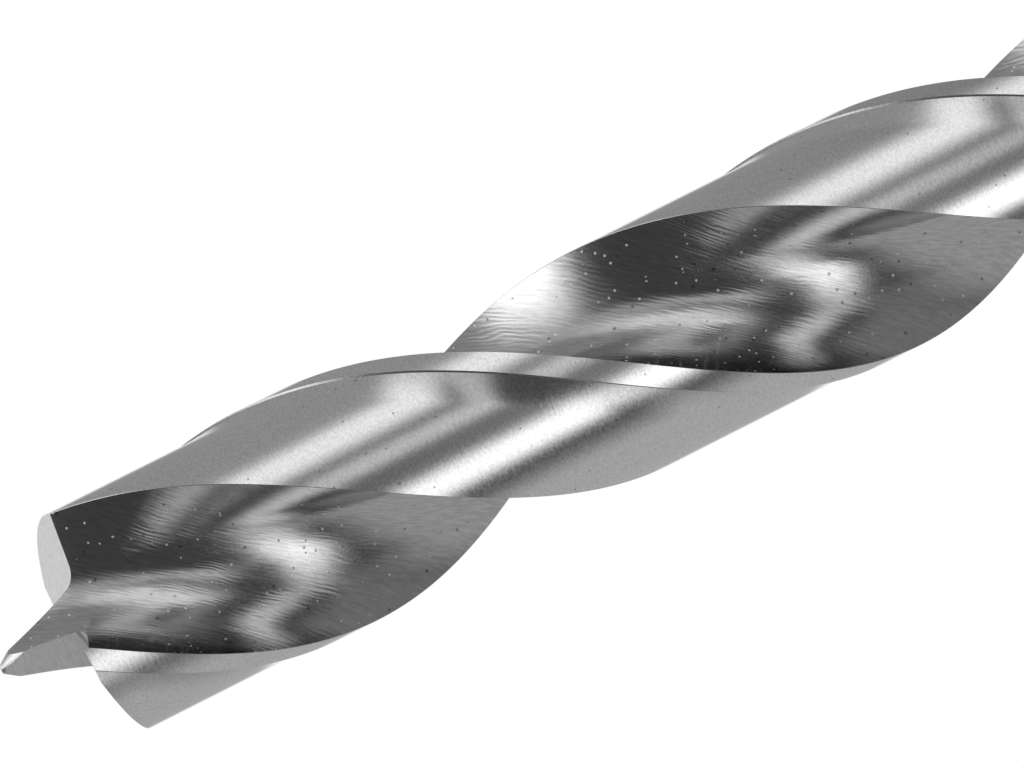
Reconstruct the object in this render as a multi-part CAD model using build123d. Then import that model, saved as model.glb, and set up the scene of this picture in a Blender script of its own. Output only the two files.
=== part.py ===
from build123d import *
import math
import os

# Brad-point twist drill bit for wood: one solid, standing on the flat end of its shank.
# Millimetres, +Z up along the drill's axis. The origin is the centre of the shank's end face.
# At the height of the outer cutting corners one corner lies on +X and the other on -X.

# ---- driving dimensions -------------------------------------------------------------------
drill_diameter = 10.0       # across the two margins
shank_diameter = 9.8        # of the plain shank, a little under the drill's own
shank_length = 40.0         # plain shank that a chuck holds
shoulder_length = 1.0       # taper from the shank up to the drill's own diameter
overall_length = 133.0      # shank end to the tip of the brad point
flute_length = 87.0         # outer cutting corners to the end of the flute run-out
flute_lead_length = 49.5    # advance of the right-hand helix in one turn
web_thickness = 2.0         # core left between the two flutes
flute_opening = 97.0        # angle from a cutting edge forward to the heel of the other land
heel_wall_radius = 2.4      # hollow between the flute's bottom and the straight wall up to the heel
margin_angle = 12.1         # width of the full-diameter margin behind the cutting edge
relief_depth = 0.26         # how far the land is relieved below the margin
step_radius = 1.1           # hollow behind the margin, down to the relieved land
step_sink = 0.03            # how far that hollow reaches below the land
wheel_radius = 40.0         # wheel whose exit leaves the flute run-out
relief_wheel_radius = 8.0   # wheel whose exit ends the relief of the lands
shank_chamfer = 0.5

brad_height = 2.9           # tip of the brad above the outer cutting corners
brad_half_width = 0.84      # axis to a ground side of the brad, at the height of the corners
brad_side_lean = 12.5       # lean of the ground sides to the axis
brad_root_radius = 0.45     # fillet between a ground side and the end flank
thinning_start = 1.5        # depth below the corners at which the core starts to thin
thinning_radius = 16.5      # arc on which the flute bottoms close in on the tip
tip_half_angle = 36.0       # short cone that sharpens the brad
tip_cone_radius = 1.6       # radius up to which that cone reaches
tip_flat_radius = 0.15      # small worn flat on the very tip
flank_direction = 50.0      # direction across the end in which the flanks are ground
flank_dish = 6.2            # fall of the end flank from the outer corner inward
flank_relief = 11.75        # fall of the end flank behind the cutting edge
corner_flat = 0.28          # height ground off the sharp outer corners

# ---- sizes that follow --------------------------------------------------------------------
outer_radius = drill_diameter / 2
shank_radius = shank_diameter / 2
land_radius = outer_radius - relief_depth
core_radius = web_thickness / 2
corner_height = overall_length - brad_height
runout_end = corner_height - flute_length
thinning_height = corner_height - thinning_start
cutter_radius = 1.25 * outer_radius
half_turn = 180.0
loft_step = 2.4             # height between two sections of a lofted stretch
cut_clearance = 0.2         # how far a lofted cutter runs clear of the bar
relief_overrun_angle = 8.0  # angle by which the relief wheel passes the heel
strip_overrun_angle = 10.0  # angle by which a margin strip runs into the flute before it is cut


# ---- plane geometry of the section ----------------------------------------------------------
def polar(radius, angle):
    """Point of the section plane at a radius and an angle in degrees."""
    return Vector(radius * math.cos(math.radians(angle)), radius * math.sin(math.radians(angle)))


def ring_crossing(centre, radius, ring, near):
    """Point near a given one where the circle about centre meets the ring about the axis."""
    distance = centre.length
    along = (distance ** 2 + ring ** 2 - radius ** 2) / (2 * distance)
    across = math.sqrt(ring ** 2 - along ** 2)
    unit = centre.normalized()
    side = Vector(-unit.Y, unit.X)
    crossings = (unit * along + side * across, unit * along - side * across)
    return min(crossings, key=lambda point: (point - near).length)


def arc(centre, start, end, toward):
    """Arc about centre from start to end that bulges toward the given point."""
    radius = (start - centre).length
    middle = ((start + end) * 0.5 - centre).normalized() * radius
    if (toward - centre).dot(middle) < 0:
        middle = middle * -1
    return Edge.make_three_point_arc(start, centre + middle, end)


def helix_angle_at(height):
    """Turn of the section at a height, zero at the outer cutting corners."""
    return 360.0 * (height - corner_height) / flute_lead_length


def at_height(face, height):
    """The section, drawn for the height of the corners, turned and lifted to another height."""
    return face.rotate(Axis.Z, helix_angle_at(height)).moved(Location((0, 0, height)))


# ---- the flute: hollow under the cutting edge, bottom by the core, straight wall to the heel ---
axis_point = Vector(0, 0)
lip_corner = polar(outer_radius, 0)
flute_direction = polar(1, flute_opening / 2)
core_point = flute_direction * core_radius
heel_corner = polar(land_radius, flute_opening)


def lip_hollow_radius():
    """Radius of the arc that touches the core and runs out at the lip corner."""
    reach = lip_corner.dot(flute_direction)
    return (outer_radius ** 2 + core_radius ** 2 - 2 * core_radius * reach) / (2 * (reach - core_radius))


def wall_touch_point():
    """Where the straight wall from the heel touches the hollow beside the core."""
    centre = flute_direction * (core_radius + heel_wall_radius)
    to_heel = heel_corner - centre
    spread = math.degrees(math.acos(heel_wall_radius / to_heel.length))
    unit = to_heel.normalized() * heel_wall_radius
    touches = [centre + unit.rotate(Axis.Z, angle) for angle in (spread, -spread)]
    return min(touches, key=lambda point: point.length)


flute_radius = lip_hollow_radius()
flute_centre = flute_direction * (core_radius + flute_radius)
wall_centre = flute_direction * (core_radius + heel_wall_radius)
wall_touch = wall_touch_point()
wall_direction = (heel_corner - wall_touch).normalized()


def flute_profile(lift, lip_ring, heel_ring):
    """Flute ahead of the cutting edge on +X, from one ring to the other, lifted off the core."""
    shift = flute_direction * lift
    centre, core = flute_centre + shift, core_point + shift
    lip_side = ring_crossing(centre, flute_radius, lip_ring, lip_corner)
    touch = wall_touch + shift
    along = touch.dot(wall_direction)
    run = math.sqrt(along ** 2 + heel_ring ** 2 - touch.dot(touch)) - along
    return [
        arc(centre, lip_side, core, axis_point),
        arc(wall_centre + shift, core, touch, axis_point),
        Edge.make_line(touch, touch + wall_direction * run),
    ]


hollow_ring = land_radius - step_sink + step_radius
hollow_span = math.degrees(math.acos(
    (hollow_ring ** 2 + outer_radius ** 2 - step_radius ** 2) / (2 * hollow_ring * outer_radius)))
hollow_angle = -margin_angle - hollow_span


def relief_profile(lift, end_ring, end_angle):
    """Hollow behind the margin and relieved land, from end_ring by the margin to end_angle."""
    centre = polar(hollow_ring + lift, hollow_angle)
    land = land_radius + lift
    start = ring_crossing(centre, step_radius, end_ring, lip_corner)
    foot = ring_crossing(centre, step_radius, land, lip_corner)
    land_end = polar(land, end_angle)
    return [
        arc(centre, start, foot, axis_point),
        arc(axis_point, foot, land_end, foot),
    ]


def drill_section(flute_lift=0.0):
    """Full section at the height of the corners, with two margins, lands and flutes."""
    ahead = flute_profile(flute_lift, outer_radius, land_radius)
    flute = [edge.rotate(Axis.Z, -half_turn) for edge in ahead]
    next_lip, heel = flute[0] @ 0, flute[-1] @ 1
    heel_angle = math.degrees(math.atan2(heel.Y, heel.X))
    relief = relief_profile(0, outer_radius, heel_angle)
    half = [arc(axis_point, next_lip * -1, relief[0] @ 0, lip_corner), *relief, *flute]
    return Face(Wire(half + [edge.rotate(Axis.Z, half_turn) for edge in half]))


def flute_cutter_section(lift):
    """What the flute wheel takes out ahead of the cutting edge on +X."""
    profile = flute_profile(lift, cutter_radius, cutter_radius)
    return Face(Wire(profile + [arc(axis_point, profile[-1] @ 1, profile[0] @ 0, flute_centre)]))


def relief_cutter_section(lift):
    """What the relief wheel takes off the land behind the cutting edge on +X."""
    end_angle = flute_opening - half_turn - relief_overrun_angle
    profile = relief_profile(lift, cutter_radius, end_angle)
    corner = polar(cutter_radius, end_angle)
    return Face(Wire(profile + [
        Edge.make_line(profile[-1] @ 1, corner),
        arc(axis_point, corner, profile[0] @ 0, profile[-1] @ 0),
    ]))


# ---- stretches of the drill -------------------------------------------------------------------
def lofted(section_at, bottom, top):
    """Solid through the sections of a stretch, each turned with the helix."""
    steps = max(4, math.ceil((top - bottom) / loft_step))
    heights = [bottom + (top - bottom) * step / steps for step in range(steps + 1)]
    faces = [at_height(section_at(height), height) for height in heights]
    return Solid.make_loft([face.outer_wire() for face in faces])


def wheel_drop(radius, lift):
    """Length of run-out in which a wheel lifts by the given distance."""
    return math.sqrt(radius ** 2 - (radius - lift) ** 2)


full_flute_height = runout_end + wheel_drop(wheel_radius, outer_radius - core_radius)


def wheel_lift(radius, height):
    """Lift of a wheel at a height of the run-out."""
    return radius - math.sqrt(radius ** 2 - (full_flute_height - height) ** 2)


def thinned_section(height):
    """Drill section at a height near the tip, where the flute bottoms close in on the axis."""
    rise = height - thinning_height
    return drill_section(math.sqrt(thinning_radius ** 2 - rise ** 2) - thinning_radius)


def shank_with_runout():
    """Plain shank up to the full flutes, with the run-out of the flutes and of the relief."""
    outline = Polyline(
        (0, 0),
        (shank_radius - shank_chamfer, 0),
        (shank_radius, shank_chamfer),
        (shank_radius, shank_length),
        (outer_radius, shank_length + shoulder_length),
        (outer_radius, full_flute_height),
        (0, full_flute_height),
        close=True)
    shank = Solid.revolve((Plane.XZ * make_face(outline)).face(), 360, Axis.Z)
    flute_depth = outer_radius - core_radius
    flute_bottom = full_flute_height - wheel_drop(wheel_radius, flute_depth + cut_clearance)
    relief_bottom = full_flute_height - wheel_drop(relief_wheel_radius, relief_depth + cut_clearance)
    cutters = [
        lofted(lambda height: flute_cutter_section(wheel_lift(wheel_radius, height)),
               flute_bottom, full_flute_height),
        lofted(lambda height: relief_cutter_section(wheel_lift(relief_wheel_radius, height)),
               relief_bottom, full_flute_height),
    ]
    for cutter in cutters:
        shank = shank - cutter - cutter.rotate(Axis.Z, half_turn)
    return shank


def margin_section():
    """Strip that carries the margin of the cutting edge on +X, with the hollow behind it."""
    centre = polar(hollow_ring, hollow_angle)
    outer_end = ring_crossing(centre, step_radius, cutter_radius, lip_corner)
    inner_end = polar(hollow_ring - step_radius, hollow_angle)
    strip_root = inner_end * 0.5
    strip_corner = polar(cutter_radius, strip_overrun_angle)
    return Face(Wire([
        arc(centre, inner_end, outer_end, lip_corner),
        arc(axis_point, outer_end, strip_corner, lip_corner),
        Edge.make_line(strip_corner, strip_root),
        Edge.make_line(strip_root, inner_end),
    ]))


def twisted(section, bottom, top):
    """Solid of a section turned up the axis along the helix."""
    length = top - bottom
    turn = 360.0 * length / flute_lead_length
    return Solid.extrude_linear_with_rotation(
        at_height(section, bottom), (0, 0, bottom), (0, 0, length), turn)


def fluted_body():
    """Round bar with two helical margins on it and the two flutes cut through."""
    bottom, top = full_flute_height, thinning_height
    skin = Solid.make_cylinder(outer_radius, top - bottom, Plane(origin=(0, 0, bottom)))
    bar = Solid.make_cylinder(land_radius, top - bottom, Plane(origin=(0, 0, bottom)))
    margin = twisted(margin_section(), bottom, top) & skin
    flute = twisted(flute_cutter_section(0), bottom, top)
    body = bar + margin + margin.rotate(Axis.Z, half_turn)
    return body - flute - flute.rotate(Axis.Z, half_turn)


def thinned_end():
    """Stretch up to the tip, in which the flute bottoms close in on the axis."""
    return lofted(thinned_section, thinning_height, overall_length)


# ---- ground point -----------------------------------------------------------------------------
def flank_cutter():
    """What the point wheel takes off behind the cutting edge on +X, and off that side of the brad."""
    across = polar(1, flank_direction - 90)
    travel = polar(1, flank_direction + 180)
    relief = math.tan(math.radians(flank_relief))
    dish = math.tan(math.radians(flank_dish))
    lean = math.tan(math.radians(brad_side_lean))
    corner_across, corner_travel = lip_corner.dot(across), lip_corner.dot(travel)
    level = corner_travel * relief - corner_across * dish
    root_across = (brad_half_width - level * lean) / (1 + dish * lean)
    reach = 2 * outer_radius
    outline = Polyline(
        (root_across, level + root_across * dish),
        (reach, level + reach * dish),
        (reach, reach),
        (brad_half_width - reach * lean, reach),
        close=True)
    profile = make_face(outline)
    root = profile.vertices().sort_by(Axis.Y)[0]
    profile = fillet(root, brad_root_radius)
    plane = Plane(origin=(0, 0, corner_height), x_dir=across, z_dir=across.cross(Vector(0, 0, 1)))
    path = Vector(travel.X, travel.Y, -relief)
    placed = plane.from_local_coords(profile.face())
    placed = placed.moved(Location(path * -reach))
    return Solid.extrude(placed, path * 2 * reach)


def tip_envelope():
    """Revolved outline that the brad's tip and the outer corners are ground to."""
    cone_drop = (tip_cone_radius - tip_flat_radius) / math.tan(math.radians(tip_half_angle))
    flat_height = corner_height - corner_flat
    outline = Polyline(
        (0, 0),
        (drill_diameter, 0),
        (drill_diameter, flat_height),
        (tip_cone_radius, flat_height),
        (tip_cone_radius, overall_length - cone_drop),
        (tip_flat_radius, overall_length),
        (0, overall_length),
        close=True)
    return Solid.revolve((Plane.XZ * make_face(outline)).face(), 360, Axis.Z)


def make_drill():
    """The whole bit."""
    bit = shank_with_runout() + fluted_body() + thinned_end()
    flank = flank_cutter()
    bit = bit - flank - flank.rotate(Axis.Z, half_turn)
    return bit & tip_envelope()


drill_bit = make_drill()
os.makedirs("parts", exist_ok=True)
export_step(drill_bit, "parts/drill_bit.step")
print("solids:", len(drill_bit.solids()), "volume:", round(drill_bit.volume, 1))
print("valid:", drill_bit.is_valid)
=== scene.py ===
import math

import bmesh
import bpy
import numpy as np
from mathutils import Matrix, Vector


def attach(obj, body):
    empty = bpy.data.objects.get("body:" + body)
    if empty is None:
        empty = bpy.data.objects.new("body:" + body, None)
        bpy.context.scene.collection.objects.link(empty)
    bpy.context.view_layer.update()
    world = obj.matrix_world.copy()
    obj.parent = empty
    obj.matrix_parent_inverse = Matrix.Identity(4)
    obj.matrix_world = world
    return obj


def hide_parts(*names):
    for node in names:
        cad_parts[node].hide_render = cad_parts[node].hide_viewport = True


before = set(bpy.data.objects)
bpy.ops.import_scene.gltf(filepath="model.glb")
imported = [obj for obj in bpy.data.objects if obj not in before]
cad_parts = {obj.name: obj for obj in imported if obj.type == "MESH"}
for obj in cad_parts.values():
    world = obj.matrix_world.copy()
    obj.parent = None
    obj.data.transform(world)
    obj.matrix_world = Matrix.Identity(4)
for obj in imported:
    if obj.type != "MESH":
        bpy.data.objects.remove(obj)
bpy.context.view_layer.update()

# ---- sizes of the drill as in the CAD source, in millimetres and degrees -------------------
OUTER_RADIUS = 5.0
SHANK_RADIUS = 4.9
SHANK_LENGTH = 40.0
SHOULDER_LENGTH = 1.0
SHANK_CHAMFER = 0.5
RELIEF_DEPTH = 0.26
CORE_RADIUS = 1.0
OVERALL_LENGTH = 133.0
FLUTE_LENGTH = 87.0
FLUTE_LEAD = 49.5
FLUTE_OPENING = 97.0
HEEL_WALL_RADIUS = 2.4
MARGIN_ANGLE = 12.1
WHEEL_RADIUS = 40.0
RELIEF_WHEEL_RADIUS = 8.0
BRAD_HEIGHT = 2.9
BRAD_HALF_WIDTH = 0.84
BRAD_SIDE_LEAN = 12.5
BRAD_ROOT_RADIUS = 0.45
THINNING_START = 1.5
THINNING_RADIUS = 16.5
TIP_HALF_ANGLE = 36.0
TIP_CONE_RADIUS = 1.6
TIP_FLAT_RADIUS = 0.15
FLANK_DIRECTION = 50.0
FLANK_DISH = 6.2
FLANK_RELIEF = 11.75
CORNER_FLAT = 0.28
LAND_RADIUS = OUTER_RADIUS - RELIEF_DEPTH
CORNER_HEIGHT = OVERALL_LENGTH - BRAD_HEIGHT
RUNOUT_END = CORNER_HEIGHT - FLUTE_LENGTH
THINNING_HEIGHT = CORNER_HEIGHT - THINNING_START
MM = 0.001

# ---- small forms of the scene alone --------------------------------------------------------
# behind the margin a small step, then a wide shallow hollow, where the CAD source has one narrow hollow
STEP_ANGLE = 0.7
HOLLOW_RISE = 0.19
HOLLOW_WIDTH = 17.0
# thin dull edges of heel and lip, and the round that wear leaves on the brad's tip
EDGE_WIDTH = 0.02
TIP_WEAR = 0.12

# ---- where the skin is divided, in millimetres --------------------------------------------
RUNOUT_TOP = RUNOUT_END + 0.01
FINE_FROM = 84.0
POINT_BASE = 127.0
POINT_TOP = OVERALL_LENGTH + 0.3
COARSE_SPACING = 0.4
FINE_SPACING = 0.2
POINT_SPACING = 0.15
SHANK_SPACING = 4.0
CUTTER_REACH = 10.0
TIP_SEGMENTS = 72
SHARP_ANGLE = 28.0

WHEEL_DROP = math.sqrt(WHEEL_RADIUS ** 2 - (WHEEL_RADIUS - OUTER_RADIUS + CORE_RADIUS) ** 2)
FULL_FLUTE_HEIGHT = RUNOUT_END + WHEEL_DROP


# ---- section of the drill -----------------------------------------------------------------
def polar(radius, degrees):
    a = math.radians(degrees)
    return np.array([radius * math.cos(a), radius * math.sin(a)])


def smooth(x, low, high):
    """0 below low, 1 above high, and smooth between."""
    t = np.clip((x - low) / (high - low), 0, 1)
    return t * t * (3 - 2 * t)


def turned(points, degrees):
    a = math.radians(degrees)
    c, s = math.cos(a), math.sin(a)
    return points @ np.array([[c, s], [-s, c]])


def crossing(centre, radius, ring, near):
    """Where the circle about centre meets the ring about the axis, near a point."""
    distance = np.linalg.norm(centre)
    along = (distance ** 2 + ring ** 2 - radius ** 2) / (2 * distance)
    across = math.sqrt(max(ring ** 2 - along ** 2, 0.0))
    unit = centre / distance
    side = np.array([-unit[1], unit[0]])
    options = (unit * along + side * across, unit * along - side * across)
    return min(options, key=lambda p: np.linalg.norm(p - near))


def arc(centre, start, end, count):
    """count points from start towards end about centre, the end left out, the short way round."""
    a = math.atan2(*(start - centre)[::-1])
    b = math.atan2(*(end - centre)[::-1])
    sweep = (b - a + math.pi) % (2 * math.pi) - math.pi
    angles = a + sweep * np.arange(count) / count
    radius = np.linalg.norm(start - centre)
    return centre + radius * np.stack([np.cos(angles), np.sin(angles)], 1)


LIP = polar(OUTER_RADIUS, 0)
HEEL = polar(LAND_RADIUS, FLUTE_OPENING)
FLUTE_UNIT = polar(1, FLUTE_OPENING / 2)
CORE_POINT = FLUTE_UNIT * CORE_RADIUS
LIP_REACH = LIP @ FLUTE_UNIT
FLUTE_REACH = LIP_REACH - CORE_RADIUS
FLUTE_RADIUS = (OUTER_RADIUS ** 2 + CORE_RADIUS ** 2 - 2 * CORE_RADIUS * LIP_REACH) / (2 * FLUTE_REACH)
FLUTE_CENTRE = FLUTE_UNIT * (CORE_RADIUS + FLUTE_RADIUS)
WALL_CENTRE = FLUTE_UNIT * (CORE_RADIUS + HEEL_WALL_RADIUS)


def flute_curve():
    """The flute ahead of the lip on +X, closely spaced, from outside the lip to outside the heel."""
    outside = 1.35 * OUTER_RADIUS
    to_heel = HEEL - WALL_CENTRE
    spread = math.degrees(math.acos(HEEL_WALL_RADIUS / np.linalg.norm(to_heel)))
    unit = to_heel / np.linalg.norm(to_heel) * HEEL_WALL_RADIUS
    touch = min((WALL_CENTRE + turned(unit, a) for a in (spread, -spread)), key=np.linalg.norm)
    along = (HEEL - touch) / np.linalg.norm(HEEL - touch)
    start = crossing(FLUTE_CENTRE, FLUTE_RADIUS, outside, LIP)
    return np.concatenate([
        arc(FLUTE_CENTRE, start, CORE_POINT, 1600),
        arc(WALL_CENTRE, CORE_POINT, touch, 600),
        touch + along * np.linspace(0, 0.8 * outside, 900)[:, None],
    ])


FLUTE_CURVE = flute_curve()
COUNTS = {"margin": 9, "rim": 1, "step": 14, "land": 26, "heel_edge": 1, "flute": 66, "lip_edge": 1}
ZONES = [zone for zone, count in COUNTS.items() for _ in range(count)]


def clipped_flute(lift, land):
    """The flute's curve from the heel on the land's ring to the lip on the outer ring."""
    curve = FLUTE_CURVE + FLUTE_UNIT * lift
    radii = np.linalg.norm(curve, axis=1)
    middle = int(np.argmin(radii))
    lip = np.interp(-OUTER_RADIUS, -radii[:middle + 1], np.arange(middle + 1))
    heel = middle + np.interp(land, radii[middle:], np.arange(len(radii) - middle))
    index = np.arange(math.ceil(lip) + 1, math.floor(heel))
    places = np.concatenate([[heel], index[::-1], [lip]])
    whole = np.arange(len(curve))
    return np.column_stack([np.interp(places, whole, curve[:, k]) for k in (0, 1)])


def half_section(flute_lift=0.0, relief_lift=0.0):
    """Half the outline, from the lip on +X clockwise to just short of the next lip."""
    land = min(LAND_RADIUS + relief_lift, OUTER_RADIUS - 1e-4)
    flute = -clipped_flute(flute_lift, land)
    length = np.concatenate([[0], np.cumsum(np.linalg.norm(np.diff(flute, axis=0), axis=1))])
    edge = min(EDGE_WIDTH, 0.05 * length[-1])
    places = np.linspace(edge, length[-1] - edge, COUNTS["flute"] + 1)
    floor_points = np.column_stack([np.interp(places, length, flute[:, k]) for k in (0, 1)])
    heel_angle = math.degrees(math.atan2(flute[0][1], flute[0][0]) + edge / land)
    lip_angle = math.degrees(math.atan2(-flute[-1][1], -flute[-1][0]) - edge / OUTER_RADIUS)
    rise = min(HOLLOW_RISE, OUTER_RADIUS - land)
    across = np.arange(COUNTS["step"]) / COUNTS["step"]
    step_end = -MARGIN_ANGLE - STEP_ANGLE
    hollow_end = step_end - HOLLOW_WIDTH
    margin_end = polar(OUTER_RADIUS, -MARGIN_ANGLE)
    hollow = [polar(land + rise * (1 - t) ** 2, step_end - HOLLOW_WIDTH * t) for t in across]
    return np.concatenate([
        arc(np.zeros(2), polar(OUTER_RADIUS, lip_angle), margin_end, COUNTS["margin"]),
        [margin_end],
        hollow,
        arc(np.zeros(2), polar(land, hollow_end), polar(land, heel_angle), COUNTS["land"]),
        [polar(land, heel_angle)],
        floor_points,
    ])


def section(height):
    """The whole outline at a height, counter-clockwise, turned with the helix."""
    if height > THINNING_HEIGHT:
        rise = height - THINNING_HEIGHT
        lifts = (math.sqrt(THINNING_RADIUS ** 2 - rise ** 2) - THINNING_RADIUS, 0.0)
    elif height < FULL_FLUTE_HEIGHT:
        drop = FULL_FLUTE_HEIGHT - height
        flute = WHEEL_RADIUS - math.sqrt(max(WHEEL_RADIUS ** 2 - drop ** 2, 0.0))
        relief = RELIEF_WHEEL_RADIUS - math.sqrt(max(RELIEF_WHEEL_RADIUS ** 2 - drop ** 2, 0.0))
        lifts = (flute, relief)
    else:
        lifts = (0.0, 0.0)
    half = half_section(*lifts)
    outline = np.concatenate([half, -half])[::-1]
    return turned(outline, 360.0 * (height - CORNER_HEIGHT) / FLUTE_LEAD)


# ---- meshes -------------------------------------------------------------------------------
def mesh_from(name, verts, faces, zones=None):
    mesh = bpy.data.meshes.new(name)
    mesh.from_pydata((np.asarray(verts) * MM).tolist(), [], faces)
    if zones is not None:
        mesh.polygons.foreach_set("material_index", zones)
    obj = bpy.data.objects.new(name, mesh)
    bpy.context.scene.collection.objects.link(obj)
    return obj


# material slots of the drill, in the order of the list of materials
MARGIN, LAND, FLUTE, GROUND, CONE, SHANK, EDGE, BRAD_SIDE = range(8)
ZONE_SLOT = {"margin": MARGIN, "rim": EDGE, "step": LAND, "land": LAND, "heel_edge": EDGE, "flute": FLUTE,
             "lip_edge": EDGE}
COLUMN_SLOTS = ([ZONE_SLOT[zone] for zone in ZONES] * 2)[::-1]


def swept(name, heights, cap_bottom, cap_top):
    """Skin through the sections at the given heights."""
    rings = [np.column_stack([section(h), np.full(2 * len(ZONES), h)]) for h in heights]
    count = 2 * len(ZONES)
    faces, slots = [], []
    for level in range(len(rings) - 1):
        base, above = level * count, (level + 1) * count
        for i in range(count):
            j = (i + 1) % count
            faces.append((base + i, base + j, above + j, above + i))
            slots.append(COLUMN_SLOTS[(i + 1) % count])
    if cap_bottom:
        faces.append(tuple(range(count))[::-1])
        slots.append(GROUND)
    if cap_top:
        faces.append(tuple((len(rings) - 1) * count + i for i in range(count)))
        slots.append(GROUND)
    return mesh_from(name, np.concatenate(rings), faces, slots)


def revolved(name, outline, segments, slot):
    """Closed solid turned from an outline of (radius, height) that starts and ends on the axis."""
    inner = outline[1:-1]
    verts = [(0, 0, outline[0][1])]
    for r, z in inner:
        for k in range(segments):
            a = 2 * math.pi * k / segments
            verts.append((r * math.cos(a), r * math.sin(a), z))
    last = len(verts)
    verts.append((0, 0, outline[-1][1]))
    faces = []
    for k in range(segments):
        n = (k + 1) % segments
        faces.append((0, 1 + k, 1 + n))
        for level in range(len(inner) - 1):
            a = 1 + level * segments
            b = a + segments
            faces.append((a + k, b + k, b + n, a + n))
        a = 1 + (len(inner) - 1) * segments
        faces.append((a + k, last, a + n))
    return mesh_from(name, verts, faces, [slot] * len(faces))


def flank_cutter(name, side):
    """What the point wheel takes off one half of the end, and off that side of the brad."""
    across = polar(1, FLANK_DIRECTION - 90)
    travel = polar(1, FLANK_DIRECTION + 180)
    relief = math.tan(math.radians(FLANK_RELIEF))
    dish = math.tan(math.radians(FLANK_DISH))
    lean = math.tan(math.radians(BRAD_SIDE_LEAN))
    level = (LIP @ travel) * relief - (LIP @ across) * dish
    root_across = (BRAD_HALF_WIDTH - level * lean) / (1 + dish * lean)
    root = np.array([root_across, level + root_across * dish])
    flank_unit = np.array([1, dish]) / math.hypot(1, dish)
    side_unit = np.array([-lean, 1]) / math.hypot(1, lean)
    half = math.acos(flank_unit @ side_unit) / 2
    bisector = (flank_unit + side_unit) / np.linalg.norm(flank_unit + side_unit)
    centre = root + bisector * BRAD_ROOT_RADIUS / math.sin(half)
    touch = BRAD_ROOT_RADIUS / math.tan(half)
    fillet = arc(centre, root + side_unit * touch, root + flank_unit * touch, 12)
    profile = np.concatenate([
        [[BRAD_HALF_WIDTH - CUTTER_REACH * lean, CUTTER_REACH]],
        fillet,
        [root + flank_unit * touch],
        [[CUTTER_REACH, level + CUTTER_REACH * dish], [CUTTER_REACH, CUTTER_REACH]],
    ])
    verts = []
    for step in (-CUTTER_REACH, CUTTER_REACH):
        for u, v in profile:
            flat = across * u + travel * step
            verts.append((side * flat[0], side * flat[1], CORNER_HEIGHT + v - relief * step))
    n = len(profile)
    faces = [tuple(range(n)), tuple(range(n, 2 * n))[::-1]]
    for i in range(n):
        j = (i + 1) % n
        faces.append((i, i + n, j + n, j))
    return mesh_from(name, verts, faces, [GROUND] * 2 + [BRAD_SIDE] + [GROUND] * (n - 1))


def tip_envelope(name):
    """Revolved outline of the brad's worn conical tip and of the flat on the outer corners."""
    slope = math.radians(TIP_HALF_ANGLE)
    flat_height = CORNER_HEIGHT - CORNER_FLAT
    cone_end = OVERALL_LENGTH - (TIP_CONE_RADIUS - TIP_FLAT_RADIUS) / math.tan(slope)
    inset = TIP_FLAT_RADIUS - TIP_WEAR * math.tan((math.pi / 2 - slope) / 2)
    outline = [(0, 120.0), (12.0, 120.0), (12.0, flat_height), (TIP_CONE_RADIUS, flat_height),
               (TIP_CONE_RADIUS, cone_end)]
    for a in np.linspace(slope, math.pi / 2, 7):
        height = OVERALL_LENGTH - TIP_WEAR + TIP_WEAR * math.sin(a)
        outline.append((inset + TIP_WEAR * math.cos(a), height))
    outline.append((0, OVERALL_LENGTH))
    return revolved(name, outline, TIP_SEGMENTS, CONE)


def recalculated(obj):
    bm = bmesh.new()
    bm.from_mesh(obj.data)
    bmesh.ops.recalc_face_normals(bm, faces=bm.faces)
    bm.to_mesh(obj.data)
    bm.free()
    return obj


def boolean(obj, tool, operation):
    recalculated(tool)
    modifier = obj.modifiers.new("cut", "BOOLEAN")
    modifier.solver = "EXACT"
    modifier.operation = operation
    modifier.object = tool
    modifier.material_mode = "INDEX"
    depsgraph = bpy.context.evaluated_depsgraph_get()
    mesh = bpy.data.meshes.new_from_object(obj.evaluated_get(depsgraph))
    obj.modifiers.clear()
    obj.data = mesh
    bpy.data.objects.remove(tool)


def steps(bottom, top, spacing):
    count = max(1, math.ceil((top - bottom) / spacing))
    return [bottom + (top - bottom) * k / count for k in range(count + 1)]


def make_drill(materials):
    lower = steps(RUNOUT_TOP, FINE_FROM, COARSE_SPACING)[:-1] + steps(FINE_FROM, POINT_BASE, FINE_SPACING)
    body = recalculated(swept("drill_bit_body", lower, False, False))
    point = recalculated(swept("point", steps(POINT_BASE, POINT_TOP, POINT_SPACING), True, True))
    for mat in materials:
        point.data.materials.append(mat)
    for side in (1, -1):
        cutter = flank_cutter("cutter", side)
        for mat in materials:
            cutter.data.materials.append(mat)
        boolean(point, cutter, "DIFFERENCE")
    envelope = tip_envelope("envelope")
    for mat in materials:
        envelope.data.materials.append(mat)
    boolean(point, envelope, "INTERSECT")
    shank = shank_skin("shank")
    merged = bmesh.new()
    for part in (body, point, shank):
        merged.from_mesh(part.data)
    base = POINT_BASE * MM
    caps = [f for f in merged.faces if all(abs(v.co.z - base) < 1e-7 for v in f.verts)]
    bmesh.ops.delete(merged, geom=caps, context="FACES_ONLY")
    bmesh.ops.remove_doubles(merged, verts=merged.verts, dist=2e-6)
    bmesh.ops.recalc_face_normals(merged, faces=merged.faces)
    mesh = bpy.data.meshes.new("twist_drill")
    merged.to_mesh(mesh)
    merged.free()
    for part in (body, point, shank):
        bpy.data.objects.remove(part)
    for mat in materials:
        mesh.materials.append(mat)
    drill = bpy.data.objects.new("twist_drill", mesh)
    bpy.context.scene.collection.objects.link(drill)
    return drill


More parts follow.
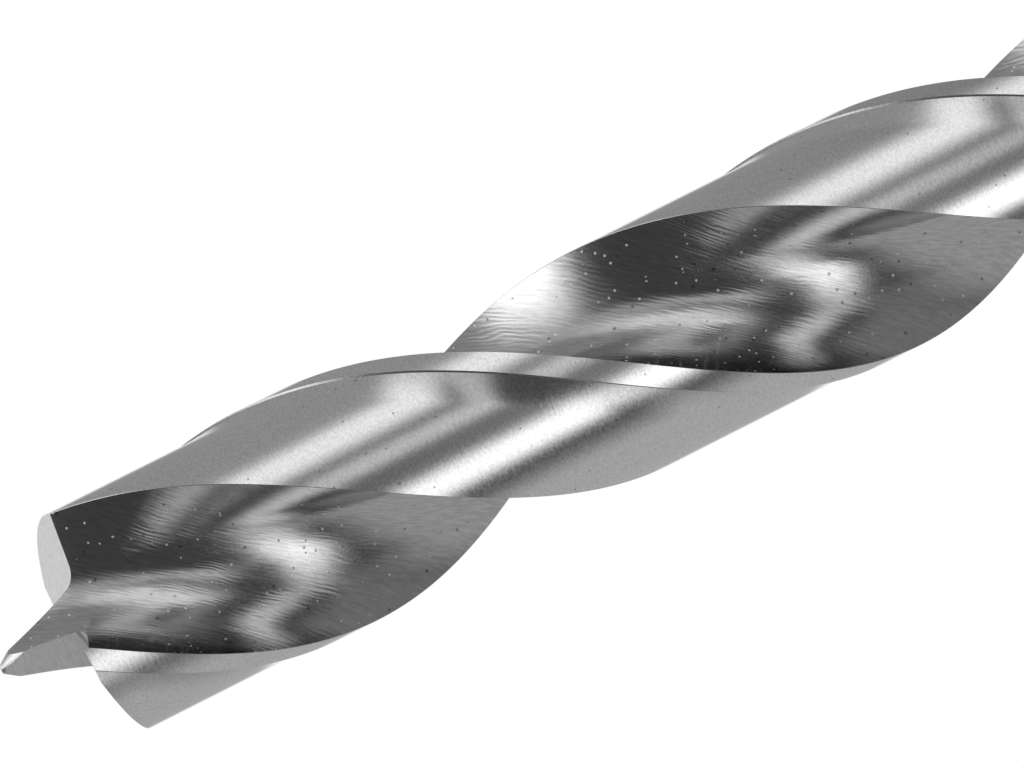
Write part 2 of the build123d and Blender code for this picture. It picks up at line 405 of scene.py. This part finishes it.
def shank_skin(name):
    """Plain shank with its shoulder, chamfer and end face, meeting the ring at the end of the run-out."""
    count = 2 * len(ZONES)
    top = section(RUNOUT_TOP)
    unit = top / np.linalg.norm(top, axis=1)[:, None]
    levels = [(OUTER_RADIUS, SHANK_LENGTH + SHOULDER_LENGTH)]
    levels += [(SHANK_RADIUS, h) for h in steps(SHANK_CHAMFER, SHANK_LENGTH, SHANK_SPACING)[::-1]]
    levels.append((SHANK_RADIUS - SHANK_CHAMFER, 0.0))
    rings = [np.column_stack([top, np.full(count, RUNOUT_TOP)])]
    rings += [np.column_stack([unit * radius, np.full(count, height)]) for radius, height in levels]
    faces = []
    for level in range(len(rings) - 1):
        a, b = level * count, (level + 1) * count
        for i in range(count):
            j = (i + 1) % count
            faces.append((b + i, b + j, a + j, a + i))
    faces.append(tuple((len(rings) - 1) * count + i for i in range(count))[::-1])
    return mesh_from(name, np.concatenate(rings), faces, [SHANK] * len(faces))


# ---- materials ----------------------------------------------------------------------------
TWIST_PER_METRE = 2 * math.pi / (FLUTE_LEAD * MM)


class Graph:
    """Small helper to build a material's nodes."""

    def __init__(self, name, level, roughness):
        self.material = bpy.data.materials.new(name)
        self.material.use_nodes = True
        self.tree = self.material.node_tree
        self.shader = self.tree.nodes["Principled BSDF"]
        self.shader.inputs["Base Color"].default_value = (level, level, level, 1)
        self.shader.inputs["Metallic"].default_value = 1.0
        self.shader.inputs["Roughness"].default_value = roughness

    def node(self, kind, **settings):
        node = self.tree.nodes.new(kind)
        for key, value in settings.items():
            setattr(node, key, value)
        return node

    def feed(self, node, slot, value):
        if isinstance(value, bpy.types.NodeSocket):
            self.tree.links.new(value, node.inputs[slot])
        else:
            node.inputs[slot].default_value = value

    def math(self, operation, *values):
        node = self.node("ShaderNodeMath", operation=operation)
        for slot, value in enumerate(values):
            self.feed(node, slot, value)
        return node.outputs[0]

    def place(self):
        """Object coordinates in millimetres, split."""
        coordinates = self.node("ShaderNodeTexCoord")
        split = self.node("ShaderNodeSeparateXYZ")
        self.feed(split, 0, coordinates.outputs["Object"])
        return [self.math("MULTIPLY", split.outputs[k], 1000.0) for k in range(3)]

    def untwisted(self):
        """Place across the nearer flute, height, and which of the two flutes it is."""
        x, y, z = self.place()
        angle = self.math("MULTIPLY_ADD", z, TWIST_PER_METRE * MM,
                          math.radians(FLUTE_OPENING / 2) - TWIST_PER_METRE * MM * CORNER_HEIGHT)
        c, s = self.math("COSINE", angle), self.math("SINE", angle)
        out = self.math("ADD", self.math("MULTIPLY", x, c), self.math("MULTIPLY", y, s))
        side = self.math("SUBTRACT", self.math("MULTIPLY", y, c), self.math("MULTIPLY", x, s))
        sign = self.math("SIGN", out)
        return self.math("MULTIPLY", side, sign), z, sign

    def vector(self, x, y, z):
        node = self.node("ShaderNodeCombineXYZ")
        for slot, value in enumerate((x, y, z)):
            self.feed(node, slot, value)
        return node.outputs[0]

    def scaled(self, values, factors):
        return self.vector(*[self.math("MULTIPLY", v, f) for v, f in zip(values, factors)])

    def noise(self, place, scale=1.0, detail=2.0, roughness=0.5):
        node = self.node("ShaderNodeTexNoise")
        self.feed(node, "Vector", place)
        self.feed(node, "Scale", scale)
        self.feed(node, "Detail", detail)
        self.feed(node, "Roughness", roughness)
        return node.outputs["Fac"]

    def spots(self, place, scale, size, edge):
        """1 inside small round spots scattered at random, else 0."""
        node = self.node("ShaderNodeTexVoronoi")
        self.feed(node, "Vector", place)
        self.feed(node, "Scale", scale)
        return self.ramp(node.outputs["Distance"], size + edge, size, 0.0, 1.0)

    def ramp(self, value, low, high, start, end):
        node = self.node("ShaderNodeMapRange", interpolation_type="SMOOTHSTEP")
        for slot, v in enumerate((value, low, high, start, end)):
            self.feed(node, slot, v)
        return node.outputs[0]

    def bump(self, height, strength, distance, below=None):
        node = self.node("ShaderNodeBump")
        self.feed(node, "Strength", strength)
        self.feed(node, "Distance", distance * MM)
        self.feed(node, "Height", height)
        if below is not None:
            self.feed(node, "Normal", below)
        return node.outputs[0]

    def colour(self, value):
        self.tree.links.new(value, self.shader.inputs["Base Color"])

    def rough(self, value):
        self.tree.links.new(value, self.shader.inputs["Roughness"])

    def normal(self, value):
        self.tree.links.new(value, self.shader.inputs["Normal"])


def cylinder_steel(name, level, roughness, scratch, grain):
    """Cylindrically ground steel: fine marks round the axis, satin grain, a few specks."""
    g = Graph(name, level, roughness)
    x, y, z = g.place()
    marks = g.noise(g.scaled((x, y, z), (1.6, 1.6, 8.0)), 1.0, 3.0, 0.6)
    fine = g.noise(g.scaled((x, y, z), (6.0, 6.0, 11.0)), 1.0, 3.0, 0.6)
    normal = g.bump(marks, 1.0, scratch)
    normal = g.bump(fine, 1.0, grain, normal)
    g.normal(normal)
    shade = g.noise(g.scaled((x, y, z), (7.0, 7.0, 12.0)), 1.0, 3.0, 0.7)
    specks = g.spots(g.vector(x, y, z), 1.4, 0.05, 0.04)
    value = g.ramp(shade, 0.3, 0.7, level * 0.88, min(level * 1.12, 1.0))
    value = g.math("MULTIPLY", value, g.math("SUBTRACT", 1.0, g.math("MULTIPLY", specks, 0.5)))
    g.colour(value)
    g.rough(g.ramp(fine, 0.3, 0.7, roughness * 0.8, roughness * 1.25))
    return g.material


def flute_steel(name, level, roughness):
    """Wheel-ground flute: fine parallel grinding lines, small pits and dust."""
    g = Graph(name, level, roughness)
    side, z, sign = g.untwisted()
    line = g.math("SUBTRACT", side, g.math("MULTIPLY", z, 0.63))
    offset = g.math("MULTIPLY", sign, 40.0)
    along = g.math("MULTIPLY_ADD", z, 0.5, offset)
    wander = g.noise(g.vector(g.math("MULTIPLY", line, 0.9), along, 0.0), 1.0, 2.0, 0.5)
    phase = g.math("MULTIPLY_ADD", line, 2 * math.pi / 0.185, g.math("MULTIPLY", wander, 26.0))
    lines = g.math("SINE", phase)
    slow = g.math("MULTIPLY_ADD", z, 0.25, offset)
    broad = g.noise(g.vector(g.math("MULTIPLY", line, 1.7), slow, 0.0), 1.0, 2.0, 0.5)
    lines = g.math("MULTIPLY", lines, g.ramp(broad, 0.35, 0.65, 0.25, 1.0))
    quick = g.math("MULTIPLY_ADD", z, 1.6, offset)
    hair = g.noise(g.vector(g.math("MULTIPLY", line, 9.0), quick, 0.0), 1.0, 3.0, 0.6)
    x, y, height = g.place()
    grain = g.noise(g.vector(x, y, height), 9.0, 3.0, 0.6)
    pits = g.spots(g.vector(x, y, height), 1.25, 0.075, 0.04)
    dust = g.spots(g.vector(g.math("ADD", x, 31.0), y, height), 1.9, 0.075, 0.05)
    normal = g.bump(lines, 1.0, 0.0011)
    normal = g.bump(hair, 1.0, 0.0035, normal)
    normal = g.bump(broad, 1.0, 0.012, normal)
    normal = g.bump(grain, 1.0, 0.0012, normal)
    normal = g.bump(pits, -1.0, 0.03, normal)
    g.normal(normal)
    shade = g.ramp(hair, 0.3, 0.7, level * 0.88, level * 1.12)
    shade = g.math("MULTIPLY", shade, g.math("SUBTRACT", 1.0, g.math("MULTIPLY", pits, 0.5)))
    g.colour(g.math("MULTIPLY_ADD", dust, 0.3, shade))
    uneven = g.ramp(grain, 0.3, 0.7, roughness * 0.85, roughness * 1.2)
    g.rough(g.math("MULTIPLY_ADD", dust, 0.6, uneven))
    return g.material


def wheel_steel(name, level, roughness, grain):
    """Coarser ground facets of the point, evenly grey with fine parallel marks."""
    g = Graph(name, level, roughness)
    x, y, z = g.place()
    direction = polar(1, FLANK_DIRECTION)
    c, s = float(direction[0]), float(direction[1])
    across = g.math("SUBTRACT", g.math("MULTIPLY", x, s), g.math("MULTIPLY", y, c))
    along = g.math("ADD", g.math("MULTIPLY", x, c), g.math("MULTIPLY", y, s))
    marks = g.noise(g.vector(g.math("MULTIPLY", across, 11.0), g.math("MULTIPLY", along, 1.6),
                             g.math("MULTIPLY", z, 11.0)), 1.0, 3.0, 0.6)
    fine = g.noise(g.vector(x, y, z), 15.0, 2.0, 0.6)
    normal = g.bump(marks, 1.0, grain)
    normal = g.bump(fine, 1.0, grain * 0.5, normal)
    g.normal(normal)
    g.colour(g.ramp(marks, 0.3, 0.7, level * 0.9, min(level * 1.1, 1.0)))
    return g.material


materials = [
    cylinder_steel("margin_steel", 0.74, 0.15, 0.0012, 0.0006),
    cylinder_steel("land_steel", 0.74, 0.15, 0.0014, 0.0008),
    # the flutes' base grey is set below the lands' though it is the same steel: partly painted shade,
    # standing in for the dark reflections in the flutes
    flute_steel("flute_steel", 0.54, 0.16),
    wheel_steel("ground_steel", 0.62, 0.45, 0.003),
    wheel_steel("tip_steel", 0.66, 0.4, 0.003),
    cylinder_steel("shank_steel", 0.72, 0.22, 0.0016, 0.0009),
    wheel_steel("edge_steel", 0.55, 0.35, 0.006),
    # the brad's side facets get a near-white base, far above the other ground facets of the same steel:
    # painted light that makes them show brighter
    wheel_steel("brad_side_steel", 0.95, 0.5, 0.003),
]

drill = make_drill(materials)
mesh = drill.data
mesh.polygons.foreach_set("use_smooth", [True] * len(mesh.polygons))
mesh.set_sharp_from_angle(angle=math.radians(SHARP_ANGLE))
# lean of the flutes' shading normals in degrees, and where across the flute it fades in, in millimetres
LEAN = 6.5
LEAN_FADE = (-3.4, -1.9)


def lean_flute_normals(degrees):
    """Leans the flutes' shading normals round the axis, less near the lip. The surface stays as it is."""
    normals = np.empty(len(mesh.loops) * 3)
    mesh.corner_normals.foreach_get("vector", normals)
    normals = normals.reshape(-1, 3)
    slots = np.empty(len(mesh.polygons), dtype=np.int32)
    counts = np.empty(len(mesh.polygons), dtype=np.int32)
    corners = np.empty(len(mesh.loops), dtype=np.int32)
    places = np.empty(len(mesh.vertices) * 3)
    mesh.polygons.foreach_get("material_index", slots)
    mesh.polygons.foreach_get("loop_total", counts)
    mesh.loops.foreach_get("vertex_index", corners)
    mesh.vertices.foreach_get("co", places)
    x, y, z = (places.reshape(-1, 3)[corners] / MM).T
    facing = np.radians(FLUTE_OPENING / 2) + 2 * math.pi * (z - CORNER_HEIGHT) / FLUTE_LEAD
    out = x * np.cos(facing) + y * np.sin(facing)
    side = (y * np.cos(facing) - x * np.sin(facing)) * np.sign(out)
    in_flute = np.repeat(slots == FLUTE, counts)
    angle = np.radians(degrees) * smooth(side, *LEAN_FADE) * in_flute
    c, s = np.cos(angle), np.sin(angle)
    nx, ny = normals[:, 0].copy(), normals[:, 1].copy()
    normals[:, 0], normals[:, 1] = c * nx - s * ny, s * nx + c * ny
    mesh.normals_split_custom_set(normals.tolist())


lean_flute_normals(LEAN)
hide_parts("drill_bit")
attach(drill, "root")

# ---- camera -------------------------------------------------------------------------------
ROLL = 0.466
TILT = 0.1196
FOCAL_PX = 5965.8
DISTANCE = 237.618
AXIS_X, AXIS_Y = 94.2493, 623.0901
WIDTH, HEIGHT = 1024, 768
PHASE = 0.0881
AXIS_START = -1.25


def camera_matrix():
    """Camera pose in the drill's frame, from the drill's in the camera's (x right, y down, z ahead)."""
    flat = math.cos(TILT)
    down_axis = Vector((flat * math.cos(ROLL), -flat * math.sin(ROLL), math.sin(TILT)))
    e1 = Vector((math.sin(ROLL), math.cos(ROLL), 0))
    e2 = e1.cross(down_axis)
    if e2.z > 0:
        e2 = -e2
    ex = e1 * math.sin(PHASE) + e2 * math.cos(PHASE)
    ey = -e1 * math.cos(PHASE) + e2 * math.sin(PHASE)
    ez = -down_axis
    corner = Vector(((AXIS_X - WIDTH / 2) / FOCAL_PX, (AXIS_Y - HEIGHT / 2) / FOCAL_PX, 1)) * DISTANCE
    origin = corner + down_axis * (AXIS_START + CORNER_HEIGHT)
    to_camera = Matrix((
        (ex.x, ey.x, ez.x, origin.x),
        (ex.y, ey.y, ez.y, origin.y),
        (ex.z, ey.z, ez.z, origin.z),
        (0, 0, 0, 1)))
    flip = Matrix.Diagonal((1, -1, -1, 1))
    pose = (flip @ to_camera).inverted()
    pose.translation *= MM
    return pose


camera = bpy.data.objects.new("camera", bpy.data.cameras.new("camera"))
bpy.context.scene.collection.objects.link(camera)
camera.matrix_world = camera_matrix()
camera.data.sensor_width = 36.0
camera.data.lens = FOCAL_PX * 36.0 / WIDTH
camera.data.clip_start = 0.01
camera.data.clip_end = 20.0
bpy.context.scene.camera = camera

# ---- studio -------------------------------------------------------------------------------
scene = bpy.context.scene
scene.view_settings.view_transform = "Standard"
world = bpy.data.worlds.new("studio")
scene.world = world
world.use_nodes = True
nodes, links = world.node_tree.nodes, world.node_tree.links
nodes.clear()
output = nodes.new("ShaderNodeOutputWorld")
mix = nodes.new("ShaderNodeMixShader")
seen = nodes.new("ShaderNodeBackground")
seen.inputs["Color"].default_value = (1, 1, 1, 1)
fill = nodes.new("ShaderNodeBackground")
fill.inputs["Color"].default_value = (0.55, 0.55, 0.55, 1)
path = nodes.new("ShaderNodeLightPath")
either = nodes.new("ShaderNodeMath")
either.operation = "MAXIMUM"
links.new(path.outputs["Is Camera Ray"], either.inputs[0])
links.new(path.outputs["Is Glossy Ray"], either.inputs[1])
both = nodes.new("ShaderNodeMath")
both.operation = "MAXIMUM"
links.new(either.outputs[0], both.inputs[0])
links.new(path.outputs["Is Transmission Ray"], both.inputs[1])
links.new(both.outputs[0], mix.inputs["Fac"])
links.new(fill.outputs[0], mix.inputs[1])
links.new(seen.outputs[0], mix.inputs[2])
links.new(mix.outputs[0], output.inputs[0])


TENT_RADIUS = 2000.0
TENT_MIDDLE = 107.0
# Three soft lights on the tent, each a bent strip of (elevation, bearing, half width in degrees, level).
# The bearing runs from the photograph's side, clockwise seen from above. They and tent_level were set until
# what the lands and flutes mirror had about the greys that the photograph has there.
LOW_STRIP = [
    (-54, -60, 24, 0.0), (-33, 0, 17, 1.0), (-18, 24, 15, 1.8), (-4, 31, 14, 1.4), (8, 60, 18, 0.8),
    (28, 110, 15, 0.0)]
LEFT_STRIP = [
    (-44, -110, 25, 0.0), (-20, -58, 20, 1.0), (0, -55, 16, 1.0), (10, -52, 18, 0.6), (20, -52, 24, 0.45),
    (45, -65, 31, 2.3), (70, -65, 32, 2.3), (88, -65, 32, 0.3)]
FRONT_STRIP = [
    (-20, -20, 8, 0.0), (-10, -18, 9, 0.5), (8, -24, 10, 0.5), (20, -24, 15, 0.1), (35, -20, 15, 0.0)]


def tent_level(bearing, elevation):
    """Dark flags round the camera, pale cloth at the sides and below, white at the back, soft strips."""
    slant = np.clip(elevation + 10, -25, 60)
    front = 0.07 + (0.17 * smooth(elevation, -2, -8) * smooth(elevation, -18, -12)
                    * smooth(bearing, -45, -25) * smooth(bearing, 24, 6))
    right = smooth(bearing, 42 + 0.9 * slant, 84 + 0.9 * slant) * (0.47 - 0.24 * smooth(elevation, -4, 14))
    left = smooth(bearing, -62, -84) * (0.15 + 0.18 * smooth(elevation, -18, -9))
    below = smooth(elevation, -34, -50) * (0.22 + 0.20 * smooth(bearing, 10, 60))
    away = np.abs(bearing)
    back = smooth(away, 152, 172)
    back = back + smooth(elevation, 18, 34) * smooth(away, 105, 140) * smooth(away, 185, 172)
    level = np.max([front, right, left, below, np.minimum(back, 1.0)], axis=0)
    for strip in (LOW_STRIP, LEFT_STRIP, FRONT_STRIP):
        heights, bearings, widths, levels = np.array(strip, float).T
        middle, width, peak = (np.interp(elevation, heights, v) for v in (bearings, widths, levels))
        level = level + peak * np.exp(-np.abs((bearing - middle) / width) ** 3)
    return level


def light_tent():
    """Large sphere of soft light and flags round the drill, seen only in reflections."""
    bearings, elevations = np.meshgrid(np.arange(-180, 180, 3.0), np.arange(-90, 91, 3.0))
    azimuth = PHASE - np.radians(bearings)
    rise = np.radians(elevations)
    across = np.cos(rise)
    verts = TENT_RADIUS * np.stack([across * np.cos(azimuth), across * np.sin(azimuth), np.sin(rise)], -1)
    verts[..., 2] += TENT_MIDDLE
    rows, columns = bearings.shape
    faces = []
    for i in range(rows - 1):
        for j in range(columns):
            k = (j + 1) % columns
            faces.append((i * columns + j, i * columns + k, (i + 1) * columns + k, (i + 1) * columns + j))
    tent = mesh_from("light_tent", verts.reshape(-1, 3), faces)
    level = tent_level(bearings, elevations).ravel()
    attribute = tent.data.color_attributes.new("level", "FLOAT_COLOR", "POINT")
    attribute.data.foreach_set("color", np.column_stack([level, level, level, np.ones_like(level)]).ravel())
    cloth = bpy.data.materials.new("tent_cloth")
    cloth.use_nodes = True
    cloth.node_tree.nodes.clear()
    emission = cloth.node_tree.nodes.new("ShaderNodeEmission")
    source = cloth.node_tree.nodes.new("ShaderNodeAttribute")
    source.attribute_name = "level"
    cloth.node_tree.links.new(source.outputs["Color"], emission.inputs["Color"])
    target = cloth.node_tree.nodes.new("ShaderNodeOutputMaterial")
    cloth.node_tree.links.new(emission.outputs[0], target.inputs[0])
    tent.data.materials.append(cloth)
    tent.visible_camera = False
    tent.visible_shadow = False
    tent.visible_diffuse = False
    tent.visible_transmission = False


light_tent()


def pale_floor():
    """Round pale floor that fades into the white background, and keeps the drill's shadow."""
    rings = [0.0, 80.0, 160.0, 240.0, 320.0]
    sides = 96
    verts = [(0, 0, 0)]
    for radius in rings[1:]:
        angles = [2 * math.pi * k / sides for k in range(sides)]
        verts += [(radius * math.cos(a), radius * math.sin(a), 0) for a in angles]
    faces = [(0, 1 + k, 1 + (k + 1) % sides) for k in range(sides)]
    for ring in range(len(rings) - 2):
        a, b = 1 + ring * sides, 1 + (ring + 1) * sides
        faces += [(a + k, b + k, b + (k + 1) % sides, a + (k + 1) % sides) for k in range(sides)]
    floor = mesh_from("floor", verts, faces)
    paint = bpy.data.materials.new("pale_floor")
    paint.use_nodes = True
    tree = paint.node_tree
    shader = tree.nodes["Principled BSDF"]
    shader.inputs["Base Color"].default_value = (0.86, 0.86, 0.86, 1)
    shader.inputs["Roughness"].default_value = 0.95
    shader.inputs["Specular IOR Level"].default_value = 0.1
    clear = tree.nodes.new("ShaderNodeBsdfTransparent")
    blend = tree.nodes.new("ShaderNodeMixShader")
    place = tree.nodes.new("ShaderNodeTexCoord")
    length = tree.nodes.new("ShaderNodeVectorMath")
    length.operation = "LENGTH"
    fade = tree.nodes.new("ShaderNodeMapRange")
    fade.interpolation_type = "SMOOTHSTEP"
    fade.inputs["From Min"].default_value = 0.10
    fade.inputs["From Max"].default_value = 0.30
    tree.links.new(place.outputs["Object"], length.inputs[0])
    tree.links.new(length.outputs["Value"], fade.inputs["Value"])
    tree.links.new(fade.outputs[0], blend.inputs["Fac"])
    tree.links.new(shader.outputs[0], blend.inputs[1])
    tree.links.new(clear.outputs[0], blend.inputs[2])
    tree.links.new(blend.outputs[0], tree.nodes["Material Output"].inputs[0])
    floor.data.materials.append(paint)
    floor.visible_glossy = False


pale_floor()


def soft_lamp(name, place, size, energy):
    lamp = bpy.data.objects.new(name, bpy.data.lights.new(name, "AREA"))
    lamp.data.size = size
    lamp.data.energy = energy
    lamp.location = place
    lamp.rotation_mode = "QUATERNION"
    lamp.rotation_quaternion = (Vector((0, 0, 0.06)) - lamp.location).to_track_quat("-Z", "Y")
    lamp.visible_glossy = False
    bpy.context.scene.collection.objects.link(lamp)


soft_lamp("key", (0.5, -0.5, 0.7), 0.5, 6)
soft_lamp("top", (-0.2, 0.3, 0.9), 0.6, 5)
